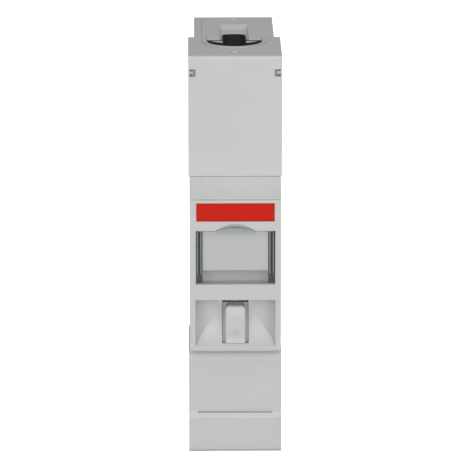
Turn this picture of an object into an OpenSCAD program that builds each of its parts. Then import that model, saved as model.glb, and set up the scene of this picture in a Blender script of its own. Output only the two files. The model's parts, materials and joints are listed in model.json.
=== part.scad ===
// Cartridge fuse holder: one pole, 1.5 modules wide, for a 35 mm top-hat rail.
// Frame: X across the width, -Y towards the front, +Z up. The origin is on the plane that
// rests on the rail, at the rail's centreline and at the middle of the width. Millimetres.

/* [Body] */
// Width over the terminal covers
pole_w = 26.9; // [26.7:0.1:27.2]
// Width of the middle of the housing, behind the carrier
mid_w = 26.3; // [26.1:0.1:26.6]
// Width of the two ends of the housing, inside the covers
end_w = 23.4; // [23.2:0.1:23.6]
// Height of the upper end above the rail's centreline
top_z = 62.8; // [62.4:0.1:64]
// Depth of the lower end below the rail's centreline
bottom_z = 54.4; // [54:0.1:55.4]
// Distance from the rail to the front of the carrier
front_d = 70; // [69.8:0.1:70.4]
// Thickness of the housing's outer walls
wall = 1.8; // [1.6:0.1:2]

/* [Carrier] */
// Width of the carrier's front
block_w = 26.2; // [25.9:0.1:26.3]
// Height of the carrier's front, which fills a 45 mm panel cut-out
block_h = 45; // [44.8:0.1:45]
// Half width of the window and of the finger recess
window_hw = 11.4; // [11.3:0.05:11.5]
// Depth of the finger recess
recess_d = 5; // [4.8:0.1:5.2]

/* [Cartridge] */
// Diameter of the ceramic body
fuse_d = 15.3; // [15:0.1:15.4]
// Length over the two end caps
fuse_l = 36; // [35.8:0.1:36]
// Distance from the rail to the cartridge's axis
fuse_y = 50.5; // [50.3:0.1:50.7]

/* [Terminals] */
// Height of the upper screw above the rail's centreline
upper_screw_z = 47.5; // [46.5:0.5:48.5]
// Depth of the lower screw below the rail's centreline
lower_screw_z = 38.9; // [38.4:0.1:39.4]
// Radius of the cut-out that both covers leave for the cable
cable_r = 8.2; // [7.8:0.1:8.4]

/* [Hidden] */
$fn = 64;
eps = 0.01;
gap = 0.2;               // clearance between neighbouring mouldings

// Colours
shell_grey = [0.76, 0.77, 0.77];
inner_black = [0.09, 0.10, 0.09];
zinc_steel = [0.72, 0.73, 0.75];
spring_steel = [0.62, 0.63, 0.65];
silvered_copper = [0.80, 0.74, 0.68];
cap_metal = [0.78, 0.77, 0.72];
porcelain = [0.93, 0.92, 0.88];

// Places along Y
front_y = -front_d;
mid_front_y = -61.4;     // front edge of the housing behind the carrier's front
block_back_y = mid_front_y - gap;
upper_cover_y = -62;     // front plane of the upper cover
lower_cover_y = -63;     // front plane of the lower cover's upper half
lower_lip_y = -64.2;     // front plane of the lower cover's lower half
cover_back_y = -33.6;    // rear edge of both covers
notch_y = -40.9;         // middle of the round end of the covers' cable cut-outs
rear_y = -2;             // back of the housing's upper end
bay_back_y = -40.5;      // back wall of the carrier's bay
bar_y = -44;             // middle plane of the contact bars
foot_y = 5.5;            // how far the feet reach behind the rail's flange

// Heights
block_z = block_h / 2;
bay_z = block_z + 0.06;
mid_top_z = 27.7;        // shoulder under the upper cover
mid_bottom_z = -24.2;    // shoulder over the lower cover
shelf_top_z = top_z - 2;
shelf_bottom_z = -bottom_z + 2;
part_x = -9.4;           // plane where the side cover meets the base

// Rail recess, for a 35 mm top-hat rail with 1 mm flanges
rail_half = 17.5;
flange_slot = 1.4;
hook_z = 15.5;
seat_z = 15.2;

// Contact strips
strip_t = 1.2;
strip_hw = 5;
leaf_z = fuse_l / 2 + 0.1 + strip_t / 2;

// Clamps and screws
screw_r = 2.5;
screw_head_r = 4;
screw_head_y = [-59.2, -55.4];
clamp_size = [14, 12.9, 13];
clamp_front_y = -47.3;

// Rivets: [y, z, half of the width there]
rivets = [
    [-20, 43, end_w / 2], [-20, -38, end_w / 2],
    [-12, 12, mid_w / 2], [-28, -12, mid_w / 2],
    [-54.5, 30, end_w / 2], [-56, -28, end_w / 2]
];
rivet_r = 1.6;
rivet_head_r = 2.7;
rivet_head_t = 0.8;

// ---------- shared shapes ----------

// Box between two corners
module box(lo, hi) {
    translate(lo) cube(hi - lo);
}

// Outline of [y, z] points carried from x0 to x1
module side_slab(points, x0, x1) {
    translate([x0, 0, 0]) rotate([90, 0, 90]) linear_extrude(x1 - x0) polygon(points);
}

// Round bars along X and along Y
module rod_x(y, z, r, x0, x1) {
    translate([x0, y, z]) rotate([0, 90, 0]) cylinder(r = r, h = x1 - x0);
}

module rod_y(x, z, r, y0, y1) {
    translate([x, y0, z]) rotate([-90, 0, 0]) cylinder(r = r, h = y1 - y0);
}

// Rectangle with round corners, in the XY plane
module round_plate(w, d, r, h) {
    linear_extrude(h) {
        square([w - 2 * r, d], center = true);
        square([w, d - 2 * r], center = true);
        for (sx = [-1, 1], sy = [-1, 1])
            translate([sx * (w / 2 - r), sy * (d / 2 - r)]) circle(r);
    }
}

// Points of an arc, and of a quadratic curve
function arc(cy, cz, r, a0, a1, n = 5) =
    [for (i = [0:n]) let (a = a0 + (a1 - a0) * i / n) [cy + r * cos(a), cz + r * sin(a)]];

function curve(a, b, c, n = 8) =
    [for (i = [0:n]) let (t = i / n) (1 - t) * (1 - t) * a + 2 * t * (1 - t) * b + t * t * c];

// Outline of a bent strip of thickness t along a line of points
function unit(v) = v / norm(v);
function left_of(p, i) =
    let (
        before = unit(p[max(i, 1)] - p[max(i, 1) - 1]),
        after = unit(p[min(i, len(p) - 2) + 1] - p[min(i, len(p) - 2)]),
        m = unit(before + after)
    ) [-m[1], m[0]] / max(0.5, m * before);
function strip(p, t) = concat(
    [for (i = [0:len(p) - 1]) p[i] + left_of(p, i) * t / 2],
    [for (i = [len(p) - 1:-1:0]) p[i] - left_of(p, i) * t / 2]);

// Coil spring from z0 to z1, one closed tube
module coil(r, wire, turns, z0, z1, sides = 6, steps = 12) {
    n = turns * steps;
    rise = z1 - z0 - 2 * wire;
    ring = function(i) let (
            a = 360 * i / steps,
            z = z0 + wire + rise * i / n
        ) [for (s = [0:sides - 1]) let (b = 360 * s / sides)
            [(r + wire * cos(b)) * cos(a), (r + wire * cos(b)) * sin(a), z + wire * sin(b)]];
    points = [for (i = [0:n]) each ring(i)];
    faces = concat(
        [[for (s = [0:sides - 1]) s]],
        [for (i = [0:n - 1], s = [0:sides - 1]) let (t = (s + 1) % sides)
            [i * sides + t, i * sides + s, (i + 1) * sides + s, (i + 1) * sides + t]],
        [[for (s = [sides - 1:-1:0]) n * sides + s]]);
    polyhedron(points, faces, convexity = 8);
}

// ---------- housing ----------

// Sloping ledge that leads from the upper cover down to the carrier's top edge
ledge_top = [upper_cover_y - 0.6, mid_top_z];
ledge_nose = [front_y + 0.1, bay_z + 0.3];
ledge = curve(ledge_top, [-65.9, 25], ledge_nose);

mid_profile = concat(
    [[mid_front_y, mid_bottom_z], [mid_front_y, bay_z], [front_y + 0.3, bay_z]],
    arc(front_y + 0.22, bay_z + 0.12, 0.12, 270, 180, 3),
    [for (i = [len(ledge) - 1:-1:0]) ledge[i]],
    [[2, mid_top_z], [foot_y, mid_top_z - 3.2], [foot_y, hook_z + 0.9], [foot_y - 0.9, hook_z],
     [flange_slot, hook_z], [flange_slot, rail_half + 0.3], [-0.4, rail_half + 0.3],
     [-0.4, seat_z], [0, seat_z], [0, -seat_z], [-0.4, -seat_z], [-0.4, -rail_half - 0.7],
     [0, -rail_half - 0.7], [0, mid_bottom_z]]);

upper_profile = [
    [-60, mid_top_z - 3], [-60, shelf_top_z], [cover_back_y + gap, shelf_top_z],
    [cover_back_y + gap, top_z], [rear_y - 0.8, top_z], [rear_y, top_z - 0.8],
    [rear_y, mid_top_z + 4], [0, mid_top_z - 3]];

lower_profile = [
    [-61, mid_bottom_z + 3], [0, mid_bottom_z + 3], [0, -bottom_z + 0.8], [-0.8, -bottom_z],
    [cover_back_y + gap, -bottom_z], [cover_back_y + gap, shelf_bottom_z], [-61, shelf_bottom_z]];

module housing_outer() {
    side_slab(mid_profile, -mid_w / 2, mid_w / 2);
    side_slab(upper_profile, -end_w / 2, end_w / 2);
    side_slab(lower_profile, -end_w / 2, end_w / 2);
    rail_latch_guides();
    box([-0.9, rear_y - 4.8, top_z - 0.3], [0.9, rear_y - 3.4, top_z + 0.45]);
}

// Fine V where the side cover meets the base, on the two end faces
module part_line() {
    for (z = [top_z, -bottom_z])
        translate([part_x, 0, z]) rotate([0, 45, 0]) cube([0.22, 160, 0.22], center = true);
}

// Two rails with lips that hold the rail latch against the back
module rail_latch_guides() {
    for (s = [-1, 1]) {
        box([s > 0 ? 6.4 : -9.4, -1, -46], [s > 0 ? 9.4 : -6.4, foot_y, -rail_half - 0.9]);
        box([s > 0 ? 5.2 : -6.5, 4.7, -46], [s > 0 ? 6.5 : -5.2, foot_y, -rail_half - 4]);
    }
    box([-1.6, -1, -43.6], [1.6, 4, -41.8]);
}

// Hollow for one terminal; shared by both ends
chamber_back_y = -26;
module terminal_chamber(z0, z1, y0) {
    box([-end_w / 2 + wall, y0, z0], [end_w / 2 - wall, chamber_back_y, z1]);
}

// Drawn for the upper end, whose outermost face is at height end_h
guide_bore = [5.9, -48.1, -26.8];      // width, front and back of the hole for the conductor
guide_wall = 0.5;
guide_top = 0.2;                       // how far the guide stands above the housing's end
flange_hw = 7.9;                       // half width of the guide's flange
guide_back_y = -39.7;                  // rear edge of the guide's flange

module oblong(grow, z0, z1) {
    translate([0, (guide_bore[1] + guide_bore[2]) / 2, z0])
        round_plate(guide_bore[0] + 2 * grow, guide_bore[2] - guide_bore[1] + 2 * grow, 1.8 + grow, z1 - z0);
}

module guide_hole(end_h) {
    oblong(guide_wall, end_h - 6, end_h + 5);
    side_slab([[guide_back_y - 0.1, end_h - 0.7], [-26.8, end_h - 1.9], [-21.5, end_h - 1.7],
               [-17, end_h - 1.1], [-14, end_h + eps], [-14, end_h + 1],
               [guide_back_y - 0.1, end_h + 1]], -4.2, 4.2);
    side_slab([[guide_back_y - 0.1, end_h - 0.7], [-34.5, end_h + eps], [guide_back_y - 0.1, end_h + 1]],
              -9, 9);
}

// Half disc with straight sides that fills a cover's cable cut-out
module notch_outline(r, back_y) {
    intersection() {
        translate([0, notch_y]) circle(r);
        translate([-r, notch_y - r]) square([2 * r, r]);
    }
    translate([-r, notch_y - eps]) square([2 * r, back_y - notch_y + eps]);
}

// Pads of the housing that stand up through the guide on both sides of its hole
module pad_outline() {
    inner = guide_bore[0] / 2 + guide_wall;
    for (s = [0, 1])
        mirror([s, 0]) {
            intersection() {
                translate([0, notch_y + 5.45]) circle(8.75);
                translate([inner, -50]) square([10, 50 + notch_y - 0.2]);
            }
        }
}

module guide_seat(end_h) {
    translate([0, 0, end_h - 2.2]) linear_extrude(2.2 + guide_top + 0.05) pad_outline();
    box([-flange_hw - gap, guide_back_y, end_h - 2.2], [flange_hw + gap, cover_back_y + 0.4, end_h]);
}

module housing_hollows() {
    inner_x = mid_w / 2 - 0.9 * wall;
    box([-inner_x, front_y - 5, -bay_z], [inner_x, bay_back_y, bay_z]);
    box([-inner_x, bay_back_y + 2, -22], [inner_x, -2, 22]);
    terminal_chamber(24.9, shelf_top_z - wall, -60 + wall);
    terminal_chamber(shelf_bottom_z + wall, -24.9, -61 + wall);
    box([-end_w / 2 + wall, chamber_back_y + 2, 24.9], [end_w / 2 - wall, rear_y - wall, top_z - 3]);
    box([-end_w / 2 + wall, chamber_back_y + 2, -bottom_z + 3], [end_w / 2 - wall, -2, -24.9]);
    for (s = [-1, 1])
        box([-strip_hw - 0.3, bar_y - 1.2, s > 0 ? 22 : -25.5],
            [strip_hw + 0.3, bar_y + 1.2, s > 0 ? 25.5 : -22]);
    rod_y(0, upper_screw_z, 4.3, -62, -57);
    rod_y(0, -lower_screw_z, 4.3, -63, -57);
}

module housing_shell() {
    difference() {
        union() {
            difference() {
                union() {
                    difference() {
                        housing_outer();
                        housing_hollows();
                    }
                    guide_seat(top_z);
                    mirror([0, 0, 1]) guide_seat(bottom_z);
                }
                guide_hole(top_z);
                mirror([0, 0, 1]) guide_hole(bottom_z);
            }
            for (r = rivets)
                rod_x(r[0], r[1], 3.3, -r[2] + 0.5, r[2] - 0.5);
        }
        part_line();
        for (r = rivets) {
            rod_x(r[0], r[1], rivet_r + 0.05, -20, 20);
            for (s = [-1, 1])
                rod_x(r[0], r[1], rivet_head_r + 0.1, s > 0 ? r[2] - 1 : -20, s > 0 ? 20 : 1 - r[2]);
        }
    }
}

module housing_base() {
    color(shell_grey) intersection() {
        housing_shell();
        box([part_x, -100, -100], [50, 50, 100]);
    }
}

module housing_side_cover() {
    color(shell_grey) intersection() {
        housing_shell();
        box([-50, -100, -100], [part_x, 50, 100]);
    }
}

module housing_rivets() {
    color(zinc_steel) for (r = rivets) {
        rod_x(r[0], r[1], rivet_r, -r[2] + 0.5, r[2] - 0.5);
        for (s = [-1, 1])
            rod_x(r[0], r[1], rivet_head_r, s * (r[2] - 0.6) - rivet_head_t / 2,
                  s * (r[2] - 0.6) + rivet_head_t / 2);
    }
}

// ---------- contacts and terminals ----------

// Bar from the terminal down to the fuse's end, then a leaf across the cap with a raised lead-in
module contact(sign, bar_end_z) {
    bend_r = 1.6;
    path = concat(
        [[bar_y, bar_end_z]],
        arc(bar_y - bend_r, leaf_z + bend_r, bend_r, 0, -90),
        curve([-56.6, leaf_z], [-57.6, leaf_z], [-58.8, leaf_z + 1.3], 4));
    color(silvered_copper) mirror([0, 0, sign > 0 ? 0 : 1])
        side_slab(strip(path, strip_t), -strip_hw, strip_hw);
}

module upper_contact() { contact(1, upper_screw_z + 8); }
module lower_contact() { contact(-1, lower_screw_z + 8); }

// Bowed steel leaf between the bay's wall and the contact leaf
module pressure_spring(sign) {
    t = 0.5;
    low = leaf_z + strip_t / 2 + t / 2 + 0.02;
    high = bay_z - t / 2 - 0.05;
    path = concat(curve([-56, low], [-53.6, low], [-50.6, high], 6), [[-49.6, high]],
                  curve([-49.2, high], [-47.6, low], [-45.8, low], 6));
    color(spring_steel) mirror([0, 0, sign > 0 ? 0 : 1])
        side_slab(strip(path, t), -4, 4);
}

module upper_pressure_spring() { pressure_spring(1); }
module lower_pressure_spring() { pressure_spring(-1); }

// Box clamp: the screw draws it forward, and its rear jaw presses the wire on the bar
module terminal_clamp(z) {
    w = clamp_size[0];
    d = clamp_size[1];
    h = clamp_size[2];
    side = 1.5;
    plate = 2.2;
    jaw = 2;
    color(zinc_steel) translate([0, clamp_front_y, z]) difference() {
        box([-w / 2, 0, -h / 2], [w / 2, d, h / 2]);
        box([-w / 2 + side, plate, -h], [w / 2 - side, d - jaw, h]);
        rod_y(0, 0, screw_r + 0.05, -1, plate + 1);
        for (i = [-2:2])
            translate([0, d - jaw, i * 2.2]) rotate([45, 0, 0]) cube([w, 0.7, 0.7], center = true);
    }
}

module terminal_screw(z) {
    slot_w = 1.1;
    slot_d = 1.8;
    color(zinc_steel) translate([0, 0, z]) difference() {
        union() {
            rod_y(0, 0, screw_head_r, screw_head_y[0], screw_head_y[1]);
            rod_y(0, 0, screw_r, screw_head_y[1] - 0.5, bar_y - strip_t / 2 - 0.1);
        }
        box([-5, screw_head_y[0] - 1, -slot_w / 2], [5, screw_head_y[0] + slot_d, slot_w / 2]);
        box([-slot_w / 2, screw_head_y[0] - 1, -2.4], [slot_w / 2, screw_head_y[0] + slot_d, 2.4]);
    }
}

module upper_terminal_clamp() { terminal_clamp(upper_screw_z); }
module upper_terminal_screw() { terminal_screw(upper_screw_z); }
module lower_terminal_clamp() { terminal_clamp(-lower_screw_z); }
module lower_terminal_screw() { terminal_screw(-lower_screw_z); }

// ---------- rail latch ----------

module rail_latch() {
    profile = [[0.3, -50], [0.3, -18.4], [flange_slot, -18.4], [flange_slot, -15.7],
               [2.2, -15.7], [4.5, -18.2], [4.5, -50]];
    color(inner_black) difference() {
        side_slab(profile, -6.1, 6.1);
        box([-2.4, -1, -44], [2.4, 6, -30]);
        box([-3.5, -1, -49], [3.5, 6, -47.4]);
        for (s = [-1, 1])
            box([s > 0 ? 5.2 : -7, 3.4, -51], [s > 0 ? 7 : -5.2, 6, -46.4]);
    }
}

module rail_latch_spring() {
    color(spring_steel) translate([0, 2.4, 0]) coil(1.45, 0.28, 8, -41.8, -30);
}

// ---------- covers and cable guides ----------

module cable_guide(end_h) {
    color(inner_black) difference() {
        union() {
            translate([0, 0, end_h - 2]) linear_extrude(2 + guide_top) difference() {
                notch_outline(flange_hw, guide_back_y);
                pad_outline();
            }
            oblong(guide_wall, end_h - 6, end_h - 0.6);
        }
        oblong(0, end_h - 7, end_h + 5);
    }
}

module upper_cable_guide() { cable_guide(top_z); }
module lower_cable_guide() { mirror([0, 0, 1]) cable_guide(bottom_z); }

// Hood over one terminal, with a half-round cable cut-out in its end wall
module cover_shell(profile, inner_lo, inner_hi, end_z) {
    difference() {
        union() {
            side_slab(profile, -pole_w / 2, pole_w / 2);
            translate([0, 0, end_z - 0.3]) linear_extrude(0.6) notch_outline(cable_r + 1.1, cover_back_y);
            box([-0.9, -57.2, end_z - 0.45], [0.9, -55.8, end_z + 0.45]);
        }
        box(inner_lo, inner_hi);
        translate([0, 0, end_z - 5]) linear_extrude(10) notch_outline(cable_r, cover_back_y + 1);
    }
}

module upper_terminal_cover() {
    bulge = curve([upper_cover_y - 0.7, mid_top_z + 0.12],
                  [upper_cover_y - 0.1, 31], [upper_cover_y, 37], 5);
    profile = concat(
        [[cover_back_y, top_z], [cover_back_y, mid_top_z + gap], [upper_cover_y + 1, mid_top_z + gap],
         [upper_cover_y + 0.6, mid_top_z + 0.06], [upper_cover_y - 0.64, mid_top_z + 0.06]],
        bulge,
        arc(upper_cover_y + 0.9, top_z - 0.9, 0.9, 180, 90));
    color(shell_grey) {
        difference() {
            cover_shell(profile, [-end_w / 2 - gap, upper_cover_y + wall, 20],
                        [end_w / 2 + gap, -30, shelf_top_z + gap], top_z);
            for (s = [0, 1])
                mirror([s, 0, 0]) {
                    box([11.3, upper_cover_y - 1, 56.8], [13, upper_cover_y + wall - 0.4, 58.9]);
                    box([12.3, upper_cover_y - 1, 56.8], [13, -58.8, 58.9]);
                }
        }
        for (s = [0, 1])                // tooth in each opening
            mirror([s, 0, 0]) box([12.1, upper_cover_y + 0.4, 57.5], [13.1, -59.6, 58.3]);
    }
}

module lower_terminal_cover() {
    groove_z = -42.4;
    profile = concat(
        [[cover_back_y, -bottom_z], [cover_back_y, mid_bottom_z - 0.4], [-61.5, mid_bottom_z - 0.4]],
        curve([-61.7, mid_bottom_z - 0.6], [-62.5, -25.2], [lower_cover_y, -26.9], 4),
        [[lower_cover_y, groove_z], [lower_lip_y, groove_z - 1.7]],
        arc(lower_lip_y + 0.8, -bottom_z + 0.8, 0.8, 180, 270));
    color(shell_grey) difference() {
        cover_shell(profile, [-end_w / 2 - gap, lower_cover_y + wall, shelf_bottom_z - gap],
                    [end_w / 2 + gap, -30, -20], -bottom_z);
        box([-10.8, lower_lip_y - 1, groove_z - 0.45], [10.8, lower_cover_y + 0.2, groove_z - 0.05]);
    }
}

// ---------- carrier ----------

window_z = [-2.4, 13.4];
recess_z = [-20.8, -7.1];
hinge = [-68.4, -0.5];
hinge_r = 0.75;
slot_hw = 3.8;
badge_z = [16.15, 21.55];
recess_y = front_y + recess_d;
nail_out = 10;                         // middle of the nail notch's ball, in front of the carrier
nail_z = 6.98;
nail_r = 13.13;
cradle_hw = 11.2;
plate_hw = 9.5;

block_profile = concat(
    [[block_back_y, -block_z], [block_back_y, block_z]],
    arc(front_y + 0.35, block_z - 0.35, 0.35, 90, 180),
    arc(front_y + 0.6, -block_z + 0.6, 0.6, 180, 270));

// Floor line of the finger recess, deep at the top and running out at the bottom
recess_floor = curve([recess_y, -12.6], [recess_y - 0.2, -17.6], [front_y + 0.25, recess_z[0]]);

module recess_shell() {
    side_slab(concat(
        [[-68.4, recess_z[1] + 1.6], [recess_y + 1.6, recess_z[1] + 1.6]],
        curve([recess_y + 1.6, -12.8], [recess_y + 1.4, -18.6], [-66.4, -21]),
        [[-68.4, -21]]), -window_hw, window_hw);
}

// Half outline of the recess seen from above: the side ramps flatten out towards the floor
recess_side = curve([window_hw + 0.4, front_y - 1], [window_hw - 1, recess_y - 0.2], [5.4, recess_y], 10);

module recess_cut() {
    intersection() {
        side_slab(concat([[front_y - 1, recess_z[1]], [recess_y, recess_z[1]]], recess_floor,
                         [[front_y - 1, recess_z[0]]]), -13, 13);
        translate([0, 0, -25]) linear_extrude(25) polygon(concat(
            recess_side, [for (i = [len(recess_side) - 1:-1:0]) [-recess_side[i][0], recess_side[i][1]]]));
    }
}

module carrier_front() {
    color(shell_grey) difference() {
        union() {
            difference() {
                union() {
                    difference() {
                        side_slab(block_profile, -block_w / 2, block_w / 2);
                        box([-window_hw, front_y + wall, -20.9], [window_hw, -50, 20.9]);
                    }
                    recess_shell();
                }
                recess_cut();
            }
            // shelf under the window, plate behind the label, latch guides and the pegs beside the pad
            box([-plate_hw, front_y + 0.1, -4.4], [plate_hw, -60.8, window_z[0]]);
            box([-window_hw - 0.1, front_y + 0.1, -4.4], [window_hw + 0.1, -67.3, window_z[0]]);
            box([-plate_hw, -67.7, 1], [plate_hw, -66.3, 17]);
            box([-plate_hw, -65.2, -4.4], [plate_hw, -64.2, 2]);
            box([-plate_hw, -66.8, 1], [plate_hw, -64.3, 2.2]);
            box([-plate_hw, -68.3, 14.1], [plate_hw, -67.6, 17]);
            for (s = [-1, 1]) {
                box([s > 0 ? slot_hw - 0.1 : -4.9, front_y + 1.2, -8.3],
                    [s > 0 ? 4.9 : 0.1 - slot_hw, recess_y + 1, recess_z[1] + 0.5]);
                box([s > 0 ? 4.8 : -5.8, recess_y + 1.4, -20.9], [s > 0 ? 5.8 : -4.8, -61.2, -6]);
            }
        }
        box([-window_hw, front_y - 1, window_z[0]], [window_hw, front_y + wall + eps, window_z[1]]);
        box([-slot_hw, front_y - 1, -20.28], [slot_hw, recess_y + 1.7, -7.6]);
        box([-2.8, -63.3, -23], [2.8, -61.1, -20.5]);
        box([-11.25, front_y - 1, badge_z[0]], [11.25, front_y + 0.4, badge_z[1]]);
        intersection() {
            translate([0, front_y - nail_out, nail_z]) sphere(r = nail_r, $fn = 96);
            box([-12, front_y - 1, 12.5], [12, front_y + 3, 20]);
        }
        thumb_lip(0.2, front_y - 1, front_y + 1.45);
        for (s = [-1, 1])
            rod_x(hinge[0], hinge[1], hinge_r + 0.05, s > 0 ? 11.3 : -12.5, s > 0 ? 12.5 : -11.3);
    }
}

module badge_plate() {
    color([0.80, 0.16, 0.13])
        box([-11.15, front_y + 0.05, badge_z[0] + 0.1], [11.15, front_y + 0.4, badge_z[1] - 0.1]);
}

module label_card() {
    color([0.80, 0.80, 0.80]) box([-9.3, -67.98, 1.3], [9.3, -67.7, 13.2]);
}

// Arched lip along the window's upper edge
lip_r = 21.8;
lip_top = 14.2;

module thumb_lip(grow, y0, y1) {
    intersection() {
        translate([0, y0, lip_top - lip_r]) rotate([-90, 0, 0])
            cylinder(r = lip_r + grow, h = y1 - y0, $fn = 180);
        box([-5.5 - grow, y0 - 1, 12], [5.5 + grow, y1 + 1, 15]);
    }
}

// Clear flap: a pane with a thumb lip, and two short hinge barrels
module label_window() {
    pane_y = [front_y + 0.2, front_y + 1.2];
    color([0.85, 0.93, 0.92, 0.35]) {
        box([-11.1, pane_y[0], -1.5], [11.1, pane_y[1], 13.2]);
        thumb_lip(0, pane_y[0], pane_y[1]);
        for (s = [-1, 1]) {
            rod_x(hinge[0], hinge[1], hinge_r, s > 0 ? 8.3 : -12.3, s > 0 ? 12.3 : -8.3);
            box([s > 0 ? 8.3 : -11.1, pane_y[1] - 0.2, -1.3], [s > 0 ? 11.1 : -8.3, hinge[0], 0.2]);
        }
    }
}

// Finger pad, the plate that holds it behind the recess, and the bolt
module latch_slider() {
    pad = concat(
        [[-63, -9.4]],
        curve([-67.3, -9.4], [-68.1, -9.5], [-68.6, -12.6], 6),
        [[-68.6, -19], [-69.1, -20.2], [-63, -20.2]]);
    foot = concat([[-63, -9.4]], curve([-63.6, -9.4], [-64, -15.5], [-67, -20.2], 6), [[-63, -20.2]]);
    color(shell_grey) {
        intersection() {
            side_slab(pad, -2.75, 2.75);
            translate([0, -60, -15.4]) rotate([90, 0, 0]) round_plate(5.5, 12, 1, 10);
        }
        box([-4.6, -63.2, -20.2], [4.6, -61.4, -9.8]);
        side_slab(foot, -3.7, 3.7);
        box([-1, -68.9, -17.3], [1, -68.4, -16.8]);
        box([-2.5, -63.1, -22.4], [2.5, -61.4, -20]);
    }
}

module latch_spring() {
    color(spring_steel) translate([0, -61.98, 0]) coil(0.84, 0.16, 5, -9.8, -4.4);
}

// ---------- fuse cradle ----------

module cradle_cheek() {
    side_slab([[-43.5, -20.6], [-43.5, 20.6], [-67.7, 20.6], [-67.7, 0.4], [-63, 0.4], [-63, -20.6]],
              9.7, cradle_hw);
    box([9.9, -67, -2.7], [11, -62, 0.5]);
}

module fuse_cradle() {
    color(inner_black) {
        for (s = [0, 1])
            mirror([s, 0, 0]) cradle_cheek();
        box([-9.8, -67.6, 19.4], [9.8, -60, 20.6]);
        box([-9.8, -60.6, -6], [9.8, -59.4, 19.6]);
        box([-9.8, -60.6, -20.6], [9.8, -59.4, -15]);
        for (s = [-1, 1])
            difference() {
                box([-9.8, -59.6, s * 9 - 2], [9.8, -46.5, s * 9 + 2]);
                translate([0, -fuse_y, -20]) cylinder(r = fuse_d / 2 + 0.1, h = 40);
            }
    }
}

// Steel band that grips the cartridge's waist and is open towards the back
module fuse_retaining_clip() {
    r = fuse_d / 2 + 0.1;
    mouth = 65;
    color(spring_steel) {
        translate([0, -fuse_y, -3]) rotate([0, 0, 90 + mouth]) rotate_extrude(angle = 360 - 2 * mouth)
            translate([r, 0]) square([0.5, 6]);
        box([-3, -59.4, -3], [3, -fuse_y - r - 0.3, 3]);
    }
}

// ---------- cartridge ----------

module on_fuse_axis() {
    translate([0, -fuse_y, 0]) children();
}

fuse_r = fuse_d / 2;
half_l = fuse_l / 2;
neck_r = 5.6;

module fuse_body() {
    bore_r = 4;
    color(porcelain) on_fuse_axis() rotate_extrude() polygon([
        [bore_r, -15.8], [neck_r - 0.1, -15.8], [neck_r - 0.1, -14.6], [fuse_r - 1.2, -14.2], [fuse_r, -12.8],
        [fuse_r, 12.4], [fuse_r - 2.3, 14.4], [neck_r - 0.5, 14.9], [neck_r - 0.5, 15.9], [bore_r, 15.9]]);
}

// Metal cup over one end; head is the narrower, indicator end
module end_cap(r, z_open, indicator_r) {
    color(cap_metal) on_fuse_axis() rotate_extrude() polygon([
        [indicator_r, half_l - 0.7], [r - 0.6, half_l - 0.7], [r - 0.6, z_open], [r, z_open],
        [r, half_l - 0.5], [r - 0.5, half_l], [indicator_r, half_l]]);
}

module fuse_head_cap() { end_cap(neck_r + 0.15, 15, 1.5); }
module fuse_foot_cap() { mirror([0, 0, 1]) end_cap(neck_r + 0.7, 14.8, 0); }

module fuse_indicator() {
    color([0.15, 0.35, 0.75]) on_fuse_axis() translate([0, 0, half_l - 0.75]) cylinder(r = 1.45, h = 0.65);
}

// Notched silver strip between the caps
module fuse_element() {
    color([0.85, 0.85, 0.86]) on_fuse_axis() difference() {
        box([-2, -0.1, -half_l + 0.8], [2, 0.1, half_l - 0.8]);
        for (i = [-2:2], s = [-1, 1])
            translate([s * 2, 0, i * 5]) rotate([90, 0, 0]) cylinder(r = 1.3, h = 2, center = true, $fn = 24);
    }
}

// ---------- nodes ----------

housing_base();
housing_side_cover();
housing_rivets();
upper_contact();
lower_contact();
upper_pressure_spring();
lower_pressure_spring();
upper_terminal_clamp();
upper_terminal_screw();
lower_terminal_clamp();
lower_terminal_screw();
rail_latch();
rail_latch_spring();
upper_terminal_cover();
lower_terminal_cover();
upper_cable_guide();
lower_cable_guide();
carrier_front();
fuse_cradle();
fuse_retaining_clip();
badge_plate();
label_card();
label_window();
latch_slider();
latch_spring();
fuse_body();
fuse_head_cap();
fuse_foot_cap();
fuse_element();
fuse_indicator();
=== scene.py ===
"""Cartridge fuse holder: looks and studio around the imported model."""
import json
import math

import bpy
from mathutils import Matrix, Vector


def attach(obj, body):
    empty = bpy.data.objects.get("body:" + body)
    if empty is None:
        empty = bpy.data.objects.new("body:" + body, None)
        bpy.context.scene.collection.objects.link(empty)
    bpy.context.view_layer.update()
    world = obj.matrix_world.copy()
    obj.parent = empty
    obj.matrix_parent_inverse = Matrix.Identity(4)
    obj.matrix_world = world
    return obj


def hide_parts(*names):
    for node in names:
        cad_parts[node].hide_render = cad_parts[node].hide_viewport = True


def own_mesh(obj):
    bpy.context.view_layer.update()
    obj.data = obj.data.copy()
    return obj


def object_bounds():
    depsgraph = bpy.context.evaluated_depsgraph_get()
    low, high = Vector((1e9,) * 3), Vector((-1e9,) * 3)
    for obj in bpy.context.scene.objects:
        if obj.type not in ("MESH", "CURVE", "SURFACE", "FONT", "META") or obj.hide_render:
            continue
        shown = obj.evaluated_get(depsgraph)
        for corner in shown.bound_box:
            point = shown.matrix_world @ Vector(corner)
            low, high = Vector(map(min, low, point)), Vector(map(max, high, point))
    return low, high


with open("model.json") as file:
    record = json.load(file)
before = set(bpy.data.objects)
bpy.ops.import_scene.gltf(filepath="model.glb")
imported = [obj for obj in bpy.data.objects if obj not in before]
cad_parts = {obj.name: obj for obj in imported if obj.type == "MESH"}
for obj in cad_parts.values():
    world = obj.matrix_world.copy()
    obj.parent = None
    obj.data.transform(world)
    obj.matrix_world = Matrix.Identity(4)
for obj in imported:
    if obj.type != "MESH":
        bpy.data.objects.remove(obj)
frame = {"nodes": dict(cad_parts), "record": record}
cad_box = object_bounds()
nodes = frame["nodes"]
MM = 0.001

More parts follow.
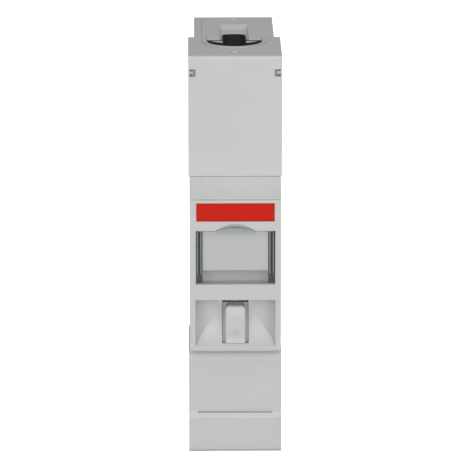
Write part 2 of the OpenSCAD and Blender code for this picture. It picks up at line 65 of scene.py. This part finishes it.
# Scales of the plastics' detail, in metres or in cycles per metre
EDGE_RADIUS = 0.00022            # how wide an edge looks rounded
PAINTED_SHADE_REACH = 0.004             # how far from a corner the painted shade reaches
PAINTED_SHADE_DARKEST = 0.55              # brightness of the painted shade in a deep corner
FLOW_SCALE = 38.0
WEAR_SCALE = 900.0
GRAIN_SCALE = 5200.0


# ---------- material helpers ----------

def new_material(name):
    """An empty node material, with its output and shader."""
    mat = bpy.data.materials.new(name)
    mat.use_nodes = True
    tree = mat.node_tree
    tree.nodes.clear()
    out = tree.nodes.new("ShaderNodeOutputMaterial")
    shader = tree.nodes.new("ShaderNodeBsdfPrincipled")
    tree.links.new(shader.outputs["BSDF"], out.inputs["Surface"])
    return mat, tree, shader


def add(tree, kind, **settings):
    """A node with its settings."""
    node = tree.nodes.new(kind)
    for key, value in settings.items():
        setattr(node, key, value)
    return node


def noise(tree, coords, scale, detail, roughness=0.55):
    """Noise between 0 and 1, as a socket."""
    node = add(tree, "ShaderNodeTexNoise")
    node.inputs["Scale"].default_value = scale
    node.inputs["Detail"].default_value = detail
    node.inputs["Roughness"].default_value = roughness
    tree.links.new(coords, node.inputs["Vector"])
    return node.outputs["Fac"]


def ramp(tree, value, low, high, from_low=0.0, from_high=1.0):
    """Maps a value from one range to another."""
    node = add(tree, "ShaderNodeMapRange")
    node.inputs["From Min"].default_value = from_low
    node.inputs["From Max"].default_value = from_high
    node.inputs["To Min"].default_value = low
    node.inputs["To Max"].default_value = high
    tree.links.new(value, node.inputs["Value"])
    return node.outputs["Result"]


def mix_colour(tree, factor, a, b):
    """Mixes two colours; each is a tuple or a socket."""
    node = add(tree, "ShaderNodeMix", data_type="RGBA")
    tree.links.new(factor, node.inputs["Factor"])
    for socket, colour in ((node.inputs[6], a), (node.inputs[7], b)):
        if isinstance(colour, tuple):
            socket.default_value = (*colour, 1.0)
        else:
            tree.links.new(colour, socket)
    return node.outputs[2]


def bump(tree, shader, height, distance, strength, normal=None):
    """Raises the surface by a height, on top of a normal if one is given."""
    node = add(tree, "ShaderNodeBump")
    node.inputs["Distance"].default_value = distance
    node.inputs["Strength"].default_value = strength
    tree.links.new(height, node.inputs["Height"])
    if normal is not None:
        tree.links.new(normal, node.inputs["Normal"])
    tree.links.new(node.outputs["Normal"], shader.inputs["Normal"])


def object_coords(tree):
    """The object's own coordinates, as a socket."""
    return add(tree, "ShaderNodeTexCoord").outputs["Object"]


def linear(r, g, b):
    """An 8-bit display colour as linear light."""
    def one(c):
        c = c / 255.0
        return c / 12.92 if c <= 0.04045 else ((c + 0.055) / 1.055) ** 2.4
    return (one(r), one(g), one(b))


# ---------- materials ----------

def rounded_normal(tree, radius):
    """Shading normal that runs round an edge, and how much of an edge each point is."""
    bevel = add(tree, "ShaderNodeBevel", samples=6)
    bevel.inputs["Radius"].default_value = radius
    geometry = add(tree, "ShaderNodeNewGeometry")
    dot = add(tree, "ShaderNodeVectorMath", operation="DOT_PRODUCT")
    tree.links.new(bevel.outputs["Normal"], dot.inputs[0])
    tree.links.new(geometry.outputs["Normal"], dot.inputs[1])
    return bevel.outputs["Normal"], ramp(tree, dot.outputs["Value"], 1.0, 0.0, 0.75, 0.995)


def moulded_plastic(name, colour, edge_colour, rough=0.5, grain=0.00001, spread=0.012, shine=0.35):
    """Moulded plastic with spark-eroded grain, faint flow variation, rubbed edges, and painted shade that
    darkens its colour in corners, hollows and under overhangs.
    """
    mat, tree, shader = new_material(name)
    coords = object_coords(tree)
    flow = noise(tree, coords, FLOW_SCALE, 3.0)
    tint = ramp(tree, flow, 1.0 - spread, 1.0 + spread, 0.3, 0.7)
    # Painted shade: ambient occlusion darkens the base colour in corners, recesses, slot gaps and under
    # overhangs, down to the deep-corner brightness.
    painted_shade_ao = add(tree, "ShaderNodeAmbientOcclusion", samples=8)
    painted_shade_ao.inputs["Distance"].default_value = PAINTED_SHADE_REACH
    tone_and_painted_shade = add(tree, "ShaderNodeMath", operation="MULTIPLY")
    tree.links.new(tint, tone_and_painted_shade.inputs[0])
    tree.links.new(ramp(tree, painted_shade_ao.outputs["AO"], PAINTED_SHADE_DARKEST, 1.0, 0.1, 0.9), tone_and_painted_shade.inputs[1])
    colour_with_painted_shade = add(tree, "ShaderNodeVectorMath", operation="SCALE")
    colour_with_painted_shade.inputs[0].default_value = colour
    tree.links.new(tone_and_painted_shade.outputs[0], colour_with_painted_shade.inputs["Scale"])
    fine = noise(tree, coords, WEAR_SCALE, 3.0)
    normal, edge = rounded_normal(tree, EDGE_RADIUS)
    worn = add(tree, "ShaderNodeMath", operation="MULTIPLY")
    tree.links.new(edge, worn.inputs[0])
    tree.links.new(ramp(tree, fine, 0.0, 0.7, 0.35, 0.65), worn.inputs[1])
    tree.links.new(mix_colour(tree, worn.outputs[0], colour_with_painted_shade.outputs[0], edge_colour),
                   shader.inputs["Base Color"])
    tree.links.new(ramp(tree, fine, rough - 0.05, rough + 0.07, 0.3, 0.7), shader.inputs["Roughness"])
    grain_height = noise(tree, coords, GRAIN_SCALE, 2.0)
    bump(tree, shader, grain_height, grain, 0.5, normal)
    shader.inputs["Specular IOR Level"].default_value = shine
    return mat


def plated_metal(name, colour, rough, scale, stain):
    """Plated metal with a drawn or brushed grain and a little staining."""
    mat, tree, shader = new_material(name)
    coords = object_coords(tree)
    mapping = add(tree, "ShaderNodeMapping")
    mapping.inputs["Scale"].default_value = scale
    tree.links.new(coords, mapping.inputs["Vector"])
    drawn = noise(tree, mapping.outputs[0], 2600.0, 3.0)
    patches = noise(tree, coords, 260.0, 4.0)
    tree.links.new(mix_colour(tree, ramp(tree, patches, 0.0, 0.55, 0.45, 0.75), colour, stain),
                   shader.inputs["Base Color"])
    tree.links.new(ramp(tree, drawn, rough - 0.1, rough + 0.14, 0.3, 0.7), shader.inputs["Roughness"])
    bump(tree, shader, drawn, 0.000006, 0.5)
    shader.inputs["Metallic"].default_value = 1.0
    return mat


def clear_plastic(name, alpha, colour):
    """Clear moulded plastic, faintly green, with hairline scratches in its gloss."""
    mat, tree, shader = new_material(name)
    coords = object_coords(tree)
    mapping = add(tree, "ShaderNodeMapping")
    mapping.inputs["Scale"].default_value = (1.0, 1.0, 14.0)
    mapping.inputs["Rotation"].default_value = (0.0, 0.5, 0.0)
    tree.links.new(coords, mapping.inputs["Vector"])
    scratches = noise(tree, mapping.outputs[0], 420.0, 4.0)
    tree.links.new(ramp(tree, scratches, 0.04, 0.2, 0.45, 0.7), shader.inputs["Roughness"])
    haze = noise(tree, coords, 120.0, 2.0)
    duller = tuple(0.94 * c for c in colour)
    tree.links.new(mix_colour(tree, haze, colour, duller), shader.inputs["Base Color"])
    shader.inputs["Alpha"].default_value = alpha
    shader.inputs["IOR"].default_value = 1.49
    mat.surface_render_method = "BLENDED"
    return mat


def porcelain(name):
    """Glazed ceramic with a faint speckle."""
    mat, tree, shader = new_material(name)
    coords = object_coords(tree)
    speck = noise(tree, coords, 1400.0, 5.0)
    speckled = mix_colour(tree, ramp(tree, speck, 0.0, 0.35, 0.55, 0.8),
                          linear(238, 236, 228), linear(205, 200, 188))
    tree.links.new(speckled, shader.inputs["Base Color"])
    wave = noise(tree, coords, 160.0, 2.0)
    tree.links.new(ramp(tree, wave, 0.1, 0.22), shader.inputs["Roughness"])
    bump(tree, shader, wave, 0.00004, 0.3)
    shader.inputs["Coat Weight"].default_value = 0.4
    return mat


def card(name):
    """Uncoated card with fibres."""
    mat, tree, shader = new_material(name)
    coords = object_coords(tree)
    mapping = add(tree, "ShaderNodeMapping")
    mapping.inputs["Scale"].default_value = (1.0, 1.0, 3.0)
    tree.links.new(coords, mapping.inputs["Vector"])
    fibres = noise(tree, mapping.outputs[0], 1500.0, 6.0, 0.7)
    tree.links.new(
        mix_colour(tree, fibres, linear(189, 189, 189), linear(196, 196, 196)), shader.inputs["Base Color"])
    tree.links.new(ramp(tree, fibres, 0.75, 0.9), shader.inputs["Roughness"])
    bump(tree, shader, fibres, 0.000015, 0.5)
    return mat


shell_grey = moulded_plastic("shell_plastic", linear(203, 203, 203), linear(224, 224, 224))
inner_black = moulded_plastic("black_plastic", linear(46, 49, 46), linear(70, 72, 70), rough=0.8,
                             shine=0.08)
badge_red = moulded_plastic("red_plastic", linear(205, 34, 20), linear(210, 60, 50), grain=0.000001,
                            spread=0.004, shine=0.12)
enamel_blue = moulded_plastic("blue_enamel", linear(48, 84, 160), linear(90, 120, 180), rough=0.25,
                              grain=0.000003)
label_card = card("label_paper")
window_clear = clear_plastic("clear_plastic", 0.035, linear(210, 222, 217))
window_thick = clear_plastic("clear_plastic_thick", 0.55, linear(168, 178, 173))
zinc = plated_metal("zinc_steel", linear(205, 208, 212), 0.34, (1.0, 4.0, 1.0), linear(165, 168, 160))
spring_wire = plated_metal("spring_steel", linear(178, 180, 184), 0.26, (1.0, 1.0, 6.0),
                           linear(140, 138, 132))
silvered = plated_metal("silvered_copper", linear(222, 216, 205), 0.3, (6.0, 1.0, 1.0), linear(190, 150, 118))
nickel = plated_metal("nickel_brass", linear(212, 206, 192), 0.22, (1.0, 1.0, 5.0), linear(180, 165, 130))
element_strip = plated_metal("silver_strip", linear(225, 225, 226), 0.25, (1.0, 1.0, 8.0),
                             linear(180, 180, 175))
white_porcelain = porcelain("porcelain")

SLOTS = {
    "shell_plastic": shell_grey,
    "black_plastic": inner_black,
    "red_plastic": badge_red,
    "label_paper": label_card,
    "clear_plastic": window_clear,
    "zinc_steel": zinc,
    "spring_steel": spring_wire,
    "silvered_copper": silvered,
    "nickel_brass": nickel,
    "porcelain": white_porcelain,
    "silver_strip": element_strip,
    "blue_enamel": enamel_blue,
}


def dress_nodes():
    """Gives every CAD node the material of its slot."""
    slots = {s["node"]: s["material_slot"] for s in frame["record"]["subparts"]}
    for name, obj in nodes.items():
        obj.data.materials.clear()
        obj.data.materials.append(SLOTS[slots[name]])


dress_nodes()


# ---------- pieces drawn here in place of CAD nodes ----------

def piece(name, verts, faces, material, node, body, slot, smooth=False):
    """A piece that stands for a CAD node, rides on its body and has its finish."""
    mesh = bpy.data.meshes.new(name)
    mesh.from_pydata([(x * MM, y * MM, z * MM) for x, y, z in verts], [], faces)
    mesh.polygons.foreach_set("use_smooth", [smooth] * len(mesh.polygons))
    mesh.materials.append(material)
    obj = bpy.data.objects.new(name, mesh)
    bpy.context.scene.collection.objects.link(obj)
    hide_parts(node)
    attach(obj, body)
    return obj


def soften(obj, width, segments=3):
    """Rounds a piece's edges."""
    rounding = obj.modifiers.new("rounding", "BEVEL")
    rounding.width = width * MM
    rounding.segments = segments
    rounding.limit_method = "ANGLE"
    rounding.angle_limit = math.radians(35)
    return obj


def prism(outline, y0, y1):
    """Verts and faces of an [x, z] outline carried along Y."""
    n = len(outline)
    verts = [(x, y0, z) for x, z in outline] + [(x, y1, z) for x, z in outline]
    faces = [tuple(range(n - 1, -1, -1)), tuple(range(n, 2 * n))]
    faces += [(i, (i + 1) % n, n + (i + 1) % n, n + i) for i in range(n)]
    return verts, [f[::-1] for f in faces]


def bar_x(y, z, r, x0, x1, sides=32):
    """Verts and faces of a round bar along X."""
    ring = [(y + r * math.cos(2 * math.pi * i / sides), z + r * math.sin(2 * math.pi * i / sides))
            for i in range(sides)]
    verts = [(x, a, b) for x in (x0, x1) for a, b in ring]
    faces = [tuple(range(sides))[::-1], tuple(range(sides, 2 * sides))]
    faces += [(i, (i + 1) % sides, sides + (i + 1) % sides, sides + i) for i in range(sides)]
    return verts, faces


def clear_window():
    """The label window: a clear pane, its tinted thumb lip, four stiffening ribs and two hinge barrels."""
    front, back = -69.8, -68.8
    half, low, high = 11.1, -1.5, 13.2
    lip_half, lip_r, lip_top = 5.5, 21.8, 14.2
    rib, rib_low = 0.28, 0.4
    hinge_y, hinge_z, hinge_r = -68.4, -0.5, 0.75
    barrel_in, barrel_out = 8.3, 12.3
    pane = [(-half, low), (half, low), (half, high - 0.4), (half - 0.4, high), (-half + 0.4, high),
            (-half, high - 0.4)]
    sheet = piece("window_pane", *prism(pane, front, back), window_clear, "label_window", "window",
                  "clear_plastic")
    sheet.data.materials.append(window_thick)
    for face in sheet.data.polygons:
        if abs(face.normal.y) < 0.5:
            face.material_index = 1
    soften(sheet, 0.15)
    steps = 16
    arch = []
    for i in range(steps + 1):
        x = lip_half - 2 * lip_half * i / steps
        arch.append((x, lip_top - lip_r + math.sqrt(lip_r ** 2 - x ** 2)))
    lip = [(-lip_half, high - 0.75), (lip_half, high - 0.75)] + arch
    soften(piece("window_lip", *prism(lip, front + 0.02, back - 0.02), window_thick, "label_window", "window",
                 "clear_plastic"), 0.12)
    for side, sign in (("left", -1), ("right", 1)):
        for place, x in (("inner", 9.75), ("outer", 10.75)):
            a, b = sorted((sign * x, sign * (x + rib)))
            strip = [(a, rib_low), (b, rib_low), (b, high - 0.3), (a, high - 0.3)]
            soften(piece("window_rib_%s_%s" % (side, place), *prism(strip, back - 0.01, back + 0.5),
                         window_thick, "label_window", "window", "clear_plastic"), 0.06, 2)
        ends = sorted((sign * barrel_in, sign * barrel_out))
        soften(piece("window_barrel_" + side, *bar_x(hinge_y, hinge_z, hinge_r, *ends), window_clear,
                     "label_window", "window", "clear_plastic", True), 0.08, 2)


def coil(name, r, wire, turns, z0, z1, y, node, body):
    """A smooth coil spring along Z whose end turns lie closer than its middle ones."""
    sides, steps = 10, 28
    crowd = 0.35
    count = turns * steps
    verts, faces = [], []
    for i in range(count + 1):
        a = 2 * math.pi * i / steps
        t = i / count
        z = z0 + wire + (z1 - z0 - 2 * wire) * (t - crowd * math.sin(2 * math.pi * t) / (2 * math.pi))
        for s in range(sides):
            b = 2 * math.pi * s / sides
            verts.append(((r + wire * math.cos(b)) * math.cos(a), y + (r + wire * math.cos(b)) * math.sin(a),
                          z + wire * math.sin(b)))
    for i in range(count):
        for s in range(sides):
            t = (s + 1) % sides
            faces.append((i * sides + s, i * sides + t, (i + 1) * sides + t, (i + 1) * sides + s))
    faces += [tuple(range(sides))[::-1], tuple(count * sides + s for s in range(sides))]
    return piece(name, verts, faces, spring_wire, node, body, "spring_steel", True)


clear_window()
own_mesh(coil("latch_coil", 0.84, 0.15, 5, -9.8, -4.4, -61.98, "latch_spring", "carrier"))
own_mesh(coil("rail_coil", 1.45, 0.27, 8, -41.8, -30.0, 2.4, "rail_latch_spring", "housing"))


# ---------- studio ----------

SWEEP_GLOW = 1.1


def sweep_white():
    """White to the eye, with only a trace of the object's shadow, and dull to all other light."""
    mat, tree, shader = new_material("sweep_white")
    shader.inputs["Base Color"].default_value = (0.8, 0.8, 0.8, 1.0)
    shader.inputs["Roughness"].default_value = 0.9
    glow = add(tree, "ShaderNodeEmission")
    glow.inputs["Color"].default_value = (1.0, 1.0, 1.0, 1.0)
    glow.inputs["Strength"].default_value = SWEEP_GLOW
    path = add(tree, "ShaderNodeLightPath")
    seen = add(tree, "ShaderNodeMixShader")
    both = add(tree, "ShaderNodeAddShader")
    tree.links.new(shader.outputs[0], both.inputs[0])
    tree.links.new(glow.outputs[0], both.inputs[1])
    tree.links.new(path.outputs["Is Camera Ray"], seen.inputs["Fac"])
    tree.links.new(shader.outputs[0], seen.inputs[1])
    tree.links.new(both.outputs[0], seen.inputs[2])
    tree.links.new(seen.outputs[0], tree.nodes["Material Output"].inputs["Surface"])
    return mat


def backdrop():
    """A white sweep: floor, curve and wall in one sheet."""
    floor_z = cad_box[0][2] - 0.0005
    front, bend_start, bend_r, wall_top, half_width = -1.6, 0.9, 0.5, 2.6, 2.5
    steps = 12
    points = [(front, floor_z), (bend_start, floor_z)]
    for i in range(1, steps + 1):
        angle = math.radians(90 * i / steps)
        points.append((bend_start + bend_r * math.sin(angle), floor_z + bend_r * (1 - math.cos(angle))))
    points.append((bend_start + bend_r, wall_top))
    verts = [(x, y, z) for y, z in points for x in (-half_width, half_width)]
    faces = [(2 * i, 2 * i + 1, 2 * i + 3, 2 * i + 2) for i in range(len(points) - 1)]
    mesh = bpy.data.meshes.new("sweep")
    mesh.from_pydata(verts, [], faces)
    for face in mesh.polygons:
        face.use_smooth = True
    sweep = bpy.data.objects.new("sweep", mesh)
    bpy.context.scene.collection.objects.link(sweep)
    mesh.materials.append(sweep_white())


def area_light(name, place, target, size, power, shadows=True):
    """A rectangular light that faces its target."""
    data = bpy.data.lights.new(name, "AREA")
    data.shape = "RECTANGLE"
    data.size, data.size_y = size
    data.energy = power
    data.use_shadow = shadows
    lamp = bpy.data.objects.new(name, data)
    bpy.context.scene.collection.objects.link(lamp)
    lamp.location = place
    lamp.rotation_euler = (Vector(target) - Vector(place)).to_track_quat("-Z", "Y").to_euler()


def camera():
    """Level with the object's front, a little above it, through a long lens."""
    elevation = math.radians(14.1)
    distance = 1.094
    target = Vector((0.00015, -0.045, 0.00596))
    place = target + distance * Vector((0.0, -math.cos(elevation), math.sin(elevation)))
    place.x = -0.012
    data = bpy.data.cameras.new("camera")
    data.sensor_width = 36.0
    data.lens = 286.0
    cam = bpy.data.objects.new("camera", data)
    bpy.context.scene.collection.objects.link(cam)
    cam.location = place
    cam.rotation_euler = (target - place).to_track_quat("-Z", "Y").to_euler()
    bpy.context.scene.camera = cam


def world_light(strength):
    """Even light from all around, which the camera sees as plain white past the sweep."""
    world = bpy.data.worlds.new("studio")
    bpy.context.scene.world = world
    world.use_nodes = True
    tree = world.node_tree
    lit = tree.nodes["Background"]
    seen = add(tree, "ShaderNodeBackground")
    for background, level in ((lit, strength), (seen, SWEEP_GLOW)):
        background.inputs["Color"].default_value = (1.0, 1.0, 1.0, 1.0)
        background.inputs["Strength"].default_value = level
    path = add(tree, "ShaderNodeLightPath")
    either = add(tree, "ShaderNodeMixShader")
    tree.links.new(path.outputs["Is Camera Ray"], either.inputs["Fac"])
    tree.links.new(lit.outputs[0], either.inputs[1])
    tree.links.new(seen.outputs[0], either.inputs[2])
    tree.links.new(either.outputs[0], tree.nodes["World Output"].inputs["Surface"])


LAMP_PLACE = (0.0, -1.17, 0.76)
LAMP_TARGET = (0.0, -0.03, 0.0)

backdrop()
area_light("even", LAMP_PLACE, LAMP_TARGET, (1.2, 0.8), 10.3, shadows=False)
area_light("soft", LAMP_PLACE, LAMP_TARGET, (1.8, 1.2), 5.8)
world_light(0.27)
camera()
bpy.context.scene.view_settings.view_transform = "Standard"
